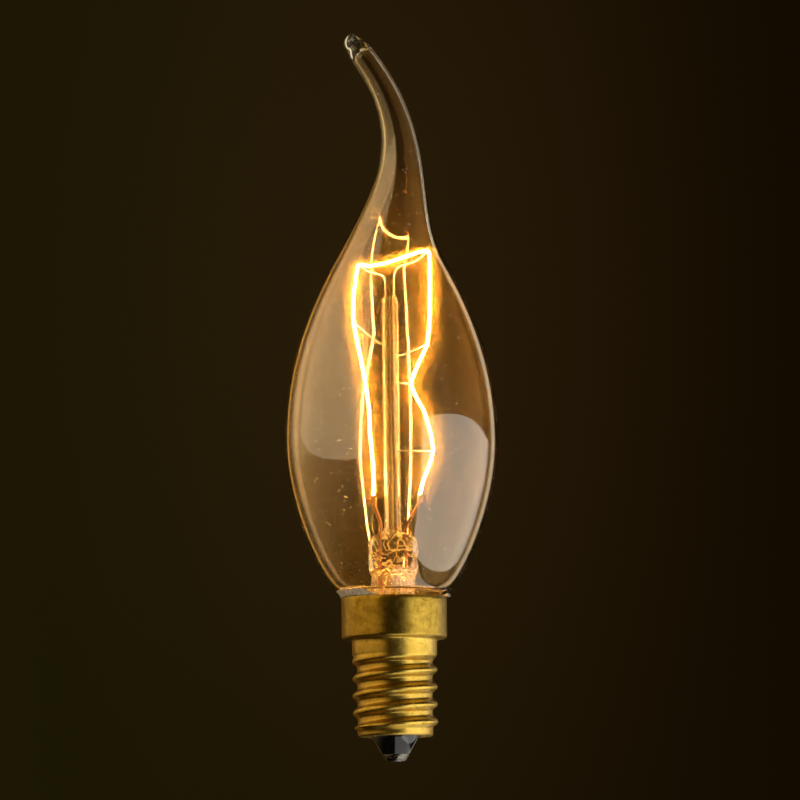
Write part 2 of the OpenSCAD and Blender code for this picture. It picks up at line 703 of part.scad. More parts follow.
// The dome of solder that is the centre contact, worn flat at its lowest point
module centre_solder() {
    r = plate_d / 2 - 0.25;
    flat = dome_flat_d / 2;
    color("silver")
        rotate_extrude() polygon(concat(
            [[0, plate_z], [r, plate_z]],
            [for (a = [0:10:90]) [flat + (r - flat) * cos(a), plate_z * (1 - sin(a))]],
            [[0, 0]]
        ));
}

// The solder that joins the side lead to the collar's rim, on the lamp's right side
module side_solder() {
    lead_z = rim_z + outer_lead_d / 2 + 0.03;
    rim_r = collar_d / 2;
    color("silver")
        difference() {
            translate([rim_r + 0.15, 0, lead_z - 0.1]) sphere(d = joint_d, $fn = 40);
            translate([rim_r - 2, -2, rim_z - 2]) cube([4, 4, 2]);
            translate([rim_r - 2, -2, rim_z - 1]) cube([2 - shell_wall, 4, 3]);
            translate([rim_r - 2, -2, rim_z + rim_gap - 0.15]) cube([4, 4, 2]);
            translate([rim_r - 1, 0, lead_z])
                rotate([0, 90, 0]) cylinder(h = 1, d = outer_lead_d + 0.2, $fn = 24);
        }
}

envelope();
stem_flare();
stem_press();
exhaust_tube();
arbor_rod();
inner_lead_left();
inner_lead_right();
seal_wire_left();
seal_wire_right();
outer_lead_centre();
outer_lead_side();
filament();
top_support_left();
top_support_right();
side_support_upper_left();
side_support_upper_right();
side_support_middle();
side_support_lower();
cap_shell();
basing_cement();
cap_insulator();
contact_plate();
centre_solder();
side_solder();
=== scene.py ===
"""Looks of a clear candle bulb with a bent tail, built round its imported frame.

Sizes are in millimetres up to the mesh, which is in metres. z is up, and the camera looks along +y.
"""

import math

import bmesh
import bpy
from mathutils import Matrix, Vector, noise


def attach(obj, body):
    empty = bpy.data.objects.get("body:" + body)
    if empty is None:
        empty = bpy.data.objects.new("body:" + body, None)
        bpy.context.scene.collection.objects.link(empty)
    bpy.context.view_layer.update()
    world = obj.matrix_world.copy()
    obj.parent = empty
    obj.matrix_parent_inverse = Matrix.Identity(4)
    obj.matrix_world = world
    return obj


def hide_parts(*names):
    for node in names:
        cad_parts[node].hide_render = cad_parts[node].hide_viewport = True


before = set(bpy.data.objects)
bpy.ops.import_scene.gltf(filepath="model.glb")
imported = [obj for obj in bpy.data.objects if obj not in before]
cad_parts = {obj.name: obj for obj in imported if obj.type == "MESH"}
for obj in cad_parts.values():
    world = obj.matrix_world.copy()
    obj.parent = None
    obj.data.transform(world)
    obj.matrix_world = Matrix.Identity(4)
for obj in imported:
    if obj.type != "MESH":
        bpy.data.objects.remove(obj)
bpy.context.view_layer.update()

MM = 0.001

# Left alone, noise_vector takes a new seed from the clock at each start
NOISE_SEED = 1795688049
noise.seed_set(NOISE_SEED)

# Sizes of the CAD model
GLASS_WALL = 0.6
BULB_R = 17.4
NECK_R = 7.4
BOWL_R = 8.6
SHOULDER_R = 9.05
TAIL_R = 1.75
TAIL_FADE = 13.0
TAIL_PULL = 0.12
BEAD_R = 1.5
BEAD_START = 0.97
HOLLOW_END = 0.95
TAIL_STEPS = 84
SEAL_Z = 22.2
BOWL_Z = 27.6
MID_Z = 52.5
SHOULDER_Z = 82.0
TIP_Z = 118.0
TIP_X = -5.5
RIM_Z = 26.8
COLLAR_Z = 20.0
LAND_Z = 17.6
THREAD_Z = 4.9
EDGE_Z = 4.1
FLANGE_Z = 4.4
BORE_TOP_Z = 6.2
CONE_Z = 1.15
PLATE_Z = 0.8
COLLAR_R = 8.6
LAND_R = 6.925
ROOT_R = 6.125
THREAD_PITCH = 2.822
THREAD_START = 205.0
SHELL_WALL = 0.3
INSULATOR_BORE_R = 0.85
TURN_Z = 29.8
PRESS_Z = 31.8
PRESS_TOP_Z = 35.4
ROD_Z = 37.4
ROD_TOP_Z = 76.0
ROD_R = 1.35
EXHAUST_R = 1.3
EXHAUST_BORE_R = 0.8
TUBE_R = 3.5
TUBE_WALL = 0.7
FLARE_Z = 21.6
PRESS_W = 8.1
PRESS_T = 3.8
PRESS_SIDES = 96
LEAD_X = 2.05
LEAD_R = 0.3
SEAL_WIRE_R = 0.25
OUTER_LEAD_R = 0.2
WIRE_TOP_Z = 33.78
WIRE_LOW_Z = 27.18
SUPPORT_R = 0.13
FILAMENT_R = 0.25
CLAMP_Z = 43.6
HOOK_Z = 83.7
HOOK_ROOM = 0.2
FIL_REACH = 6.8
FIL_BOW = 0.5
FIL_RUN = 0.6
LOOP_ROOM = 0.12

SHOULDER_SLOPE = (SHOULDER_R - TAIL_R) / TAIL_FADE
SHOULDER_WALL = GLASS_WALL * math.sqrt(1 + SHOULDER_SLOPE ** 2)


# Mesh helpers: every shape is a pair (points, faces)

def mix(a, b, t):
    return a + (b - a) * t


def ease(t):
    t = min(1.0, max(0.0, t))
    return t * t * (3 - 2 * t)


def bezier(a, b, c, d, t):
    u = 1 - t
    return a * u ** 3 + b * (3 * u * u * t) + c * (3 * u * t * t) + d * t ** 3


def bezier_way(a, b, c, d, t):
    u = 1 - t
    return ((b - a) * (u * u) + (c - b) * (2 * u * t) + (d - c) * (t * t)).normalized()


def loft(rings, closed=False):
    """Skin over rings of equal length. A ring of one point is a pole.
    closed joins the last ring to the first."""
    sides = max(len(r) for r in rings)
    points, rows = [], []
    for r in rings:
        first = len(points)
        points.extend(r)
        rows.append([first + k % len(r) for k in range(sides)])
    faces = []
    for a, b in zip(rows, rows[1:] + rows[:1] if closed else rows[1:]):
        for k in range(sides):
            j = (k + 1) % sides
            face = list(dict.fromkeys((a[k], a[j], b[j], b[k])))
            if len(face) > 2:
                faces.append(face)
    return points, faces


def circle(r, z, sides):
    if r < 1e-6:
        return [Vector((0, 0, z))]
    return [Vector((r * math.cos(a), r * math.sin(a), z)) for a in turns(sides)]


def turns(sides):
    return [2 * math.pi * k / sides for k in range(sides)]


def lathe(outline, sides, closed=True):
    """Outline [(radius, height)] turned round the z axis."""
    return loft([circle(r, z, sides) for r, z in outline], closed)


def arc(cx, cz, r, start, end, steps):
    """Points (radius, height) on a circle's arc, with its angles in degrees."""
    angles = [math.radians(mix(start, end, i / steps)) for i in range(steps + 1)]
    return [(cx + r * math.cos(a), cz + r * math.sin(a)) for a in angles]


def frames(path):
    """Direction and two sides at each point of a path, turning as little as possible along it."""
    last = len(path) - 1
    ways = [(path[min(i + 1, last)] - path[max(i - 1, 0)]).normalized() for i in range(last + 1)]
    side = ways[0].cross(Vector((0.13, 0.97, 0.2))).normalized()
    made = []
    for way in ways:
        side = (side - way * side.dot(way)).normalized()
        made.append((way, side, way.cross(side)))
    return made


def tube(path, radius, sides):
    """Round wire along a path, closed at both ends."""
    rings = []
    for p, (_, a, b) in zip(path, frames(path)):
        rings.append([p + radius * (math.cos(g) * a + math.sin(g) * b) for g in turns(sides)])
    return loft([[path[0]]] + rings + [[path[-1]]])


def through(points, step=0.25):
    """Smooth curve through the points, sampled about every step."""
    pts = [Vector(p) for p in points]
    pts = [pts[0] * 2 - pts[1]] + pts + [pts[-1] * 2 - pts[-2]]
    made = []
    for a, b, c, d in zip(pts, pts[1:], pts[2:], pts[3:]):
        count = max(2, round((c - b).length / step))
        span = (c - b).length
        m0 = (c - a).normalized() * span
        m1 = (d - b).normalized() * span
        for i in range(count):
            t = i / count
            made.append(bezier(b, b + m0 / 3, c - m1 / 3, c, t))
    return made + [pts[-2]]


def evenly(points, step):
    """The same path in steps of equal length."""
    made, left = [points[0]], step
    for a, b in zip(points, points[1:]):
        way, length = b - a, (b - a).length
        while left <= length:
            made.append(a + way * (left / length))
            left += step
        left -= length
    return made


def joined(*parts):
    """Several shapes as one."""
    points, faces = [], []
    for p, f in parts:
        first = len(points)
        points.extend(p)
        faces.extend([[first + i for i in face] for face in f])
    return points, faces


def with_hollow(outer, inner):
    """One skin from the outer and the inner rings: its points, and the faces of its outside, of its hollow
    and of the foot that joins them."""
    points, skin = loft(outer)
    hollow_points, hollow = loft(inner)
    first, sides = len(points), len(outer[0])
    hollow = [[first + i for i in reversed(f)] for f in hollow]
    foot = [[k, (k + 1) % sides, first + (k + 1) % sides, first + k] for k in range(sides)]
    return points + hollow_points, skin, hollow, foot


def rough(shape, amount, size, seed=0.0):
    """The same shape with its points moved at random, by up to amount, over lumps of that size."""
    points, faces = shape
    shift = Vector((seed, 7.3 * seed, -3.1 * seed))
    return [Vector(p) + amount * noise.noise_vector(Vector(p) / size + shift) for p in points], faces


def piece(name, shape, material, slot, *nodes, sharp=40):
    """A new object from a shape in millimetres, which rides on the lamp and stands for the CAD nodes."""
    points, faces = shape
    mesh = bpy.data.meshes.new(name)
    mesh.from_pydata([tuple(Vector(p) * MM) for p in points], [], faces)
    tidy = bmesh.new()
    tidy.from_mesh(mesh)
    bmesh.ops.recalc_face_normals(tidy, faces=tidy.faces)
    tidy.to_mesh(mesh)
    tidy.free()
    mesh.materials.append(material)
    mesh.polygons.foreach_set("use_smooth", [True] * len(mesh.polygons))
    mesh.set_sharp_from_angle(angle=math.radians(sharp))
    obj = bpy.data.objects.new(name, mesh)
    bpy.context.scene.collection.objects.link(obj)
    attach(obj, "root")
    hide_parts(*nodes)
    return obj


# Materials

def node(tree, kind, inputs=None, **props):
    made = tree.nodes.new("ShaderNode" + kind)
    for key, value in props.items():
        setattr(made, key, value)
    for key, value in (inputs or {}).items():
        socket = made.inputs[key]
        if isinstance(value, bpy.types.NodeSocket):
            tree.links.new(value, socket)
        else:
            socket.default_value = value
    return made


def material(name):
    made = bpy.data.materials.new(name)
    made.use_nodes = True
    made.node_tree.nodes.clear()
    return made, made.node_tree


def calc(tree, kind, *values):
    """One step of arithmetic."""
    return node(tree, "Math", dict(enumerate(values)), operation=kind).outputs[0]


def finish_material(tree, surface):
    out = tree.nodes.new("ShaderNodeOutputMaterial")
    tree.links.new(surface, out.inputs["Surface"])


def grain(tree, scale, detail, stretch=(1, 1, 1), roughness=0.55):
    """Noise from 0 to 1 with lumps of 1/scale metres, drawn out along an axis where stretch is small."""
    place = node(tree, "TexCoord").outputs["Object"]
    moved = node(tree, "Mapping", {"Vector": place, "Scale": stretch}).outputs["Vector"]
    made = node(tree, "TexNoise", {"Vector": moved, "Scale": scale, "Detail": detail, "Roughness": roughness})
    return made.outputs["Fac"]


def ramp(tree, factor, *stops):
    """Colour or value along the factor, from stops (position, colour or grey)."""
    made = node(tree, "ValToRGB", {"Fac": factor})
    elements = made.color_ramp.elements
    for i, (position, colour) in enumerate(stops):
        element = elements[i] if i < len(elements) else elements.new(position)
        element.position = position
        element.color = (*colour, 1) if isinstance(colour, tuple) else (colour, colour, colour, 1)
    return made.outputs["Color"]


def blend_colour(tree, factor, a, b, kind="MIX"):
    made = node(tree, "Mix", {0: factor, 6: a, 7: b}, data_type="RGBA", blend_type=kind)
    return made.outputs[2]


def bump(tree, height, strength, distance, below=None):
    inputs = {"Height": height, "Strength": strength, "Distance": distance * MM}
    if below is not None:
        inputs["Normal"] = below
    return node(tree, "Bump", inputs).outputs["Normal"]


def clear_glass(tree, tint, clear, ior, wave):
    """Slightly amber clear glass with a faint wave."""
    colour = ramp(tree, grain(tree, 180, 6), (0.35, tuple(c * 0.95 for c in tint)), (0.7, tint))
    normal = bump(tree, grain(tree, 60, 2, (1, 1, 0.35)), 1.0, wave)
    return node(tree, "BsdfPrincipled", {
        "Base Color": colour, "Roughness": 0.0, "IOR": ior, "Transmission Weight": clear, "Normal": normal,
        "Specular IOR Level": 1.0,
    }).outputs[0]


def filmed(tree, surface, share, blur, hue, ior):
    """A film in smears and ripples, thicker towards the top, which spreads some of what shines through."""
    spread = node(tree, "BsdfRefraction", {"Color": (*hue, 1), "Roughness": blur, "IOR": ior})
    smears = ramp(tree, grain(tree, 90, 6), (0.3, 0.6 * share), (0.75, 1.4 * share))
    ripples = ramp(tree, grain(tree, 1500, 2, (0.03, 0.03, 1)), (0.35, 0.7), (0.65, 1.3))
    height = node(tree, "SeparateXYZ", {0: node(tree, "TexCoord").outputs["Object"]}).outputs["Z"]
    rise = node(tree, "MapRange", {"Value": height, "From Min": 0.035, "From Max": 0.08,
                                   "To Min": 0.25, "To Max": 1.0}).outputs["Result"]
    smears = calc(tree, "MULTIPLY", calc(tree, "MULTIPLY", smears, ripples), rise)
    return node(tree, "MixShader", {0: smears, 1: surface, 2: spread.outputs[0]}).outputs[0]


def dusted(tree, surface, share):
    """A few specks of dust."""
    powder = node(tree, "BsdfDiffuse", {"Color": (0.8, 0.76, 0.7, 1)})
    specks = ramp(tree, grain(tree, 2300, 1), (0.71, 0.0), (0.75, share))
    return node(tree, "MixShader", {0: specks, 1: surface, 2: powder.outputs[0]}).outputs[0]


def streaked_with_glints(tree, surface, scale, stretch, bands, glint_shares):
    """Folds and fine bubbles in pressed or drawn glass: curled lines that catch the filament's light. Their
    warm colour, orange at the edges and pale yellow at the crests, is painted glint standing in for the
    filament's light refracted in the glass.
    """
    lumps = grain(tree, scale, 2, stretch)
    wave = calc(tree, "SINE", calc(tree, "MULTIPLY", lumps, bands))
    # Painted glints: the share of the surface given to the warm lines.
    share = ramp(tree, wave, (0.72, glint_shares[0]), (0.97, glint_shares[1]))
    # Painted glint colour: orange at the lines' edges, pale yellow at their crests.
    hue = ramp(tree, wave, (0.6, (1.0, 0.55, 0.09)), (0.95, (1.0, 0.86, 0.48)))
    normal = bump(tree, lumps, 1.0, 0.5)
    front = node(tree, "BsdfDiffuse", {"Color": hue, "Normal": normal})
    behind = node(tree, "BsdfTranslucent", {"Color": hue, "Normal": normal})
    both = node(tree, "MixShader", {0: 0.5, 1: front.outputs[0], 2: behind.outputs[0]})
    return node(tree, "MixShader", {0: share, 1: surface, 2: both.outputs[0]}).outputs[0]


def finish_glass(tree, surface):
    """Shadow rays pass, so lamps light what is inside."""
    through_it = node(tree, "BsdfTransparent", {"Color": (1, 0.93, 0.82, 1)})
    shadow = node(tree, "LightPath").outputs["Is Shadow Ray"]
    both = node(tree, "MixShader", {0: shadow, 1: surface, 2: through_it.outputs[0]})
    finish_material(tree, both.outputs[0])


def bulb_glass(name, inside):
    """The blown bulb. Dust lies on its outside, and a thin film of evaporated metal on its inside."""
    made, tree = material(name)
    ior = 1.5
    surface = clear_glass(tree, (1.0, 0.95, 0.84), 1.0, ior, 0.006)
    if inside:
        surface = filmed(tree, surface, 0.045, 0.15, (1, 0.85, 0.5), ior)
        surface = filmed(tree, surface, 0.17, 0.4, (1, 0.58, 0.13), ior)
        mirror = node(tree, "BsdfGlossy", {"Color": (1, 0.92, 0.75, 1), "Roughness": 0.09})
        surface = node(tree, "MixShader", {0: 0.01, 1: surface, 2: mirror.outputs[0]}).outputs[0]
    else:
        surface = dusted(tree, surface, 0.4)
    finish_glass(tree, surface)
    return made


def stem_glass(name, scale, stretch, bands, glint_shares):
    """The lead glass of the stem, with its folds and bubbles and painted glints of the filament's light."""
    made, tree = material(name)
    surface = clear_glass(tree, (1.0, 0.95, 0.86), 0.999, 1.54, 0.012)
    finish_glass(tree, streaked_with_glints(tree, surface, scale, stretch, bands, glint_shares))
    return made


def metal(name, light, dark, roughness, lines, scale, depth=0.004, stain=150):
    """Drawn metal: stains between two colours, grain along the lines and small pits."""
    made, tree = material(name)
    stains = ramp(tree, grain(tree, stain, 5), (0.32, dark), (0.62, light))
    drawn = grain(tree, scale, 4, lines)
    colour = blend_colour(tree, ramp(tree, drawn, (0.3, 0.0), (0.7, 0.35)), stains, (*dark, 1))
    pits = ramp(tree, grain(tree, scale * 2.2, 2), (0.66, 0.0), (0.74, 1.0))
    colour = blend_colour(tree, pits, colour, tuple(c * 0.3 for c in dark) + (1,))
    low, high = roughness
    shine = ramp(tree, grain(tree, stain * 2.5, 5), (0.3, low), (0.7, high))
    normal = bump(tree, drawn, 0.6, depth, bump(tree, pits, 0.7, -depth))
    shader = node(tree, "BsdfPrincipled", {
        "Base Color": colour, "Metallic": 1.0, "Roughness": shine, "Normal": normal,
    })
    finish_material(tree, shader.outputs[0])
    return made


def brass_colour(tree):
    """Bright worn crests, a little brown in the grooves of the thread, and a stained, duller collar."""
    at = node(tree, "SeparateXYZ", {0: node(tree, "TexCoord").outputs["Object"]})
    radius = node(tree, "CombineXYZ", {"X": at.outputs["X"], "Y": at.outputs["Y"]}).outputs[0]
    radius = node(tree, "VectorMath", {0: radius}, operation="LENGTH").outputs["Value"]
    groove = node(tree, "MapRange", {"Value": radius, "From Min": 6.75 * MM, "From Max": 6.15 * MM},
                  interpolation_type="SMOOTHSTEP").outputs["Result"]
    collar = node(tree, "MapRange", {"Value": at.outputs["Z"], "From Min": COLLAR_Z * MM,
                                     "From Max": (COLLAR_Z + 0.5) * MM}).outputs["Result"]
    bright = ramp(tree, grain(tree, 420, 7, roughness=0.65),
                  (0.34, (0.42, 0.26, 0.035)), (0.6, (0.56, 0.38, 0.075)))
    bright = blend_colour(tree, calc(tree, "MULTIPLY", groove, 0.15), bright, (0.24, 0.12, 0.014, 1))
    dull = ramp(tree, grain(tree, 700, 6, roughness=0.7),
                (0.36, (0.235, 0.145, 0.017)), (0.62, (0.39, 0.255, 0.04)))
    return blend_colour(tree, collar, bright, dull)


def scratches(tree):
    """Thin scratches in patches."""
    lines = calc(tree, "ABSOLUTE", calc(tree, "SUBTRACT", grain(tree, 190, 1, (1, 1, 2.5)), 0.5))
    lines = ramp(tree, lines, (0.002, 1.0), (0.006, 0.0))
    patches = ramp(tree, grain(tree, 330, 1), (0.56, 0.0), (0.6, 0.8))
    return calc(tree, "MULTIPLY", lines, patches)


def brass_material():
    """Drawn brass with specks, fine drawn lines and a few scratches."""
    made, tree = material("rolled_brass")
    specks = ramp(tree, grain(tree, 2600, 3), (0.6, 0.0), (0.72, 0.75))
    marks = scratches(tree)
    colour = blend_colour(tree, specks, brass_colour(tree), (0.1, 0.055, 0.01, 1))
    colour = blend_colour(tree, marks, colour, (0.07, 0.035, 0.008, 1))
    lines = grain(tree, 2400, 4, (1, 1, 0.12))
    shine = ramp(tree, grain(tree, 800, 6, roughness=0.7), (0.3, 0.26), (0.7, 0.42))
    normal = bump(tree, lines, 0.5, 0.006, bump(tree, marks, 0.8, -0.02, bump(tree, specks, 0.6, -0.01)))
    shader = node(tree, "BsdfPrincipled", {
        "Base Color": colour, "Metallic": 1.0, "Roughness": shine, "Normal": normal,
    })
    finish_material(tree, shader.outputs[0])
    return made


def cement_material():
    made, tree = material("basing_cement_grain")
    colour = ramp(tree, grain(tree, 1400, 6), (0.3, (0.26, 0.21, 0.15)), (0.55, (0.46, 0.41, 0.33)),
                  (0.75, (0.6, 0.56, 0.48)))
    normal = bump(tree, grain(tree, 2200, 5), 0.9, 0.05)
    shader = node(tree, "BsdfPrincipled", {"Base Color": colour, "Roughness": 0.92, "Normal": normal})
    finish_material(tree, shader.outputs[0])
    return made


def black_glass_material():
    made, tree = material("black_glass_gloss")
    colour = ramp(tree, grain(tree, 500, 4), (0.35, (0.001, 0.001, 0.0015)), (0.75, (0.004, 0.0035, 0.004)))
    shine = ramp(tree, grain(tree, 900, 5), (0.35, 0.05), (0.75, 0.2))
    normal = bump(tree, grain(tree, 260, 3), 0.5, 0.02)
    shader = node(tree, "BsdfPrincipled", {
        "Base Color": colour, "Roughness": shine, "IOR": 1.52, "Normal": normal,
    })
    finish_material(tree, shader.outputs[0])
    return made


def hot_wire_material():
    """The glowing tungsten, white-hot, with faint changes of heat along its length."""
    made, tree = material("tungsten_white_hot")
    heat = ramp(tree, grain(tree, 300, 2), (0.3, (1.0, 0.56, 0.17)), (0.7, (1.0, 0.62, 0.21)))
    shader = node(tree, "BsdfPrincipled", {
        "Base Color": (0.3, 0.28, 0.26, 1), "Metallic": 1.0, "Roughness": 0.4,
        "Emission Color": heat, "Emission Strength": 500.0,
    })
    finish_material(tree, shader.outputs[0])
    made.cycles.emission_sampling = "FRONT"
    return made


ROOM_DARK = (0.012, 0.0085, 0.002)


def floor_material():
    """Pale floor. In reflections and through glass it has the colour of the dark room."""
    made, tree = material("pale_floor")
    colour = ramp(tree, grain(tree, 6, 4), (0.3, (0.66, 0.65, 0.63)), (0.7, (0.72, 0.71, 0.69)))
    shader = node(tree, "BsdfPrincipled", {"Base Color": colour, "Roughness": 0.85})
    dark = node(tree, "Emission", {"Color": (*ROOM_DARK, 1), "Strength": 1.0})
    path = node(tree, "LightPath")
    by_glass = calc(tree, "MAXIMUM", path.outputs["Is Glossy Ray"], path.outputs["Is Transmission Ray"])
    both = node(tree, "MixShader", {0: by_glass, 1: shader.outputs[0], 2: dark.outputs[0]})
    finish_material(tree, both.outputs[0])
    return made


# Envelope: the blown bulb, its drawn tail and the bead

def flat(r, z):
    return Vector((r, z))


NECK_CURVE = (flat(NECK_R, 25.7), flat(NECK_R, 26.99), flat(7.8, BOWL_Z), flat(BOWL_R, BOWL_Z))
BOWL_CURVE = (flat(BOWL_R, BOWL_Z), flat(10.5, BOWL_Z), flat(BULB_R, 40.5), flat(BULB_R, MID_Z))
CROWN_CURVE = (flat(BULB_R, MID_Z), flat(BULB_R, 64.5),
               flat(SHOULDER_R + SHOULDER_SLOPE * 8.2, 73.8), flat(SHOULDER_R, SHOULDER_Z))
TAIL_LINE = (Vector((0, 0, SHOULDER_Z)), Vector((0, 0, 90.2)), Vector((7.4, 0, 102.4)),
             Vector((TIP_X, 0, TIP_Z)))


def tail_at(z):
    """The tail's outer radius at height z."""
    s = max(0.0, z - SHOULDER_Z) / TAIL_FADE
    return TAIL_R + (SHOULDER_R - TAIL_R) * math.exp(-s - TAIL_PULL * s * s)


def ring_way(t):
    """Direction of the tail's ring: upright at the shoulder, along the tail further on."""
    return Vector((0, 0, 1)).lerp(bezier_way(*TAIL_LINE, t), ease(t / 0.6)).normalized()


def ring(centre, way, r, sides):
    across = Vector((way.z, 0, -way.x))
    return [centre + r * (math.cos(a) * across + math.sin(a) * Vector((0, 1, 0))) for a in turns(sides)]


def bulb_profile(inset):
    """Outline of the bulb from the seal to the shoulder, moved inwards by inset."""
    made = [(NECK_R - inset, SEAL_Z), (NECK_R - inset, 24.0)]
    for curve, steps in ((NECK_CURVE, 10), (BOWL_CURVE, 56), (CROWN_CURVE, 56)):
        for i in range(steps):
            p, way = bezier(*curve, i / steps), bezier_way(*curve, i / steps)
            made.append((p.x - way.y * inset, p.y + way.x * inset))
    return made


def dome_rings(centre, way, r, sides):
    """Half a ball of rings, closed by a point."""
    made = []
    for a in range(12, 90, 12):
        g = math.radians(a)
        made.append(ring(centre + way * r * math.sin(g), way, r * math.cos(g), sides))
    return made + [[centre + way * r]]


def outer_rings(sides):
    """Rings of the bulb's outside, up to the bead."""
    made = [circle(r, z, sides) for r, z in bulb_profile(0)]
    for i in range(TAIL_STEPS + 1):
        t = BEAD_START * i / TAIL_STEPS
        p = bezier(*TAIL_LINE, t)
        made.append(ring(p, ring_way(t), tail_at(p.z), sides))
    tip, way = TAIL_LINE[3], bezier_way(*TAIL_LINE, 1)
    start = bezier(*TAIL_LINE, BEAD_START)
    wide = tail_at(start.z)
    for i in range(1, 9):
        t = i / 8
        made.append(ring(start.lerp(tip, t), way, mix(wide, BEAD_R, ease(t)), sides))
    return made + dome_rings(tip, way, BEAD_R, sides)


def inner_rings(sides):
    """Rings of the bulb's inside, up to the end of the tail's bore."""
    made = [circle(r, z, sides) for r, z in bulb_profile(GLASS_WALL)]
    for i in range(TAIL_STEPS + 1):
        t = HOLLOW_END * i / TAIL_STEPS
        p = bezier(*TAIL_LINE, t)
        wall = mix(SHOULDER_WALL, GLASS_WALL, i / TAIL_STEPS)
        made.append(ring(p, ring_way(t), tail_at(p.z) - wall, sides))
    centre, way = bezier(*TAIL_LINE, HOLLOW_END), bezier_way(*TAIL_LINE, HOLLOW_END)
    return made + dome_rings(centre, way, tail_at(centre.z) - GLASS_WALL, sides)


# Stem: flare, exhaust tube, press and rod

def folded(points):
    """The tube's wall drawn into upright folds near the pinch."""
    made = []
    for p in points:
        share = ease((p.z - 24.5) / 3) * ease((31.5 - p.z) / 1.0)
        a = math.atan2(p.y, p.x)
        wave = 0.6 * math.sin(13 * a + 0.6 * p.z) + 0.4 * math.sin(29 * a - 0.9 * p.z)
        wave += noise.noise(Vector((2.5 * math.cos(a), 2.5 * math.sin(a), 0.5 * p.z)))
        k = 1 + 0.028 * share * wave
        made.append(Vector((p.x * k, p.y * k, p.z)))
    return made


def flare_shape():
    curve = (flat(NECK_R, FLARE_Z), flat(5.0, FLARE_Z), flat(TUBE_R, 23.2), flat(TUBE_R, 26.6))
    line = [bezier(*curve, i / 24) for i in range(25)]
    top = TURN_Z + 0.2
    inner = [(p.x - TUBE_WALL, p.y) for p in line] + [(TUBE_R - TUBE_WALL, top)]
    outer = [(TUBE_R, top)] + [(p.x, p.y) for p in reversed(line) if p.y > SEAL_Z + 0.1]
    rim = [(NECK_R - 0.75, SEAL_Z), (NECK_R, SEAL_Z), (NECK_R, FLARE_Z)]
    points, faces = lathe(outer + rim + inner[1:], 192)
    return folded(points), faces


def exhaust_shape():
    low = 8.6
    top = PRESS_Z + 0.3
    outline = [(0, low)] + arc(0, low + EXHAUST_R, EXHAUST_R, -75, 0, 6)
    outline += [(EXHAUST_R, top), (EXHAUST_BORE_R, top), (EXHAUST_BORE_R, low + 2.4), (0.48, low + 1.6),
                (0, low + 1.2)]
    return lathe(outline, 64, closed=False)


def oval(w, t, z):
    """Ring w wide and t thick with nearly flat sides."""
    r, s = t / 2, (w - t) / 2
    return [Vector((r * math.cos(a) + s * max(-1, min(1, math.cos(a) / 0.45)), r * math.sin(a), z))
            for a in turns(PRESS_SIDES)]


def press_cavity():
    """Rings of the press's hollow, which narrows and flattens upwards from the tube's bore."""
    made = []
    for i in range(9):
        u = i / 8
        g = math.radians(90 * u)
        w, t = 2 * 2.8 * mix(1, 1.04, u), 2 * mix(2.8, 1.5, ease(u))
        z = mix(TURN_Z, PRESS_Z - 0.35, math.sin(g))
        made.append(oval(max(0.4, w * math.cos(g * 0.94)), max(0.3, t * math.cos(g * 0.94)), z))
    return made + [[Vector((0, 0, PRESS_Z - 0.3))]]


def press_shape():
    """The tube's end, pinched flat, with a domed top that carries the rod."""
    rings = []
    for i in range(11):
        u = i / 10
        z = mix(TURN_Z, PRESS_Z, u)
        rings.append(oval(mix(2 * TUBE_R, PRESS_W, ease(u)), mix(2 * TUBE_R, PRESS_T, ease(u)), z))
    for i in range(1, 9):
        rings.append(oval(PRESS_W, PRESS_T, mix(PRESS_Z, PRESS_TOP_Z, i / 8)))
    for a in range(8, 90, 8):
        g = math.radians(a)
        rings.append(oval(2 * (1.45 + 2.6 * math.cos(g)), mix(2.7, PRESS_T, math.cos(g) ** 0.6),
                          PRESS_TOP_Z + 2 * math.sin(g)))
    rings.append([Vector((0, 0, ROD_Z + 0.05))])
    points, skin, hollow, foot = with_hollow(rings, press_cavity())
    return points, skin + hollow + foot


def rod_shape():
    outline = [(0, ROD_Z - 0.9), (1.2, ROD_Z - 0.9)]
    for i in range(9):
        z = ROD_Z - 0.8 + 0.35 * i
        outline.append((ROD_R + 0.45 * math.exp(-max(0, z - ROD_Z) / 0.5), z))
    outline += [(ROD_R, ROD_Z + 4 + i * 3.0) for i in range(11)]
    outline += arc(ROD_R - 0.5, ROD_TOP_Z - 0.5, 0.5, 0, 80, 6) + [(0, ROD_TOP_Z)]
    points, faces = lathe(outline, 128, closed=False)
    return [striated(p) for p in points], faces


def striated(p):
    """The rod is drawn, so its section is a little uneven all along it."""
    a = math.atan2(p.y, p.x) + 0.004 * (p.z - ROD_Z)
    wave = noise.noise(Vector((1.6 * math.cos(a), 1.6 * math.sin(a), 0.012 * p.z)))
    wave += 0.5 * noise.noise(Vector((4 * math.cos(a), 4 * math.sin(a), 0.02 * p.z + 9)))
    k = 1 + 0.06 * wave * ease((ROD_TOP_Z - p.z) / 1.5)
    return Vector((p.x * k, p.y * k, p.z))


# Filament, supports and leads

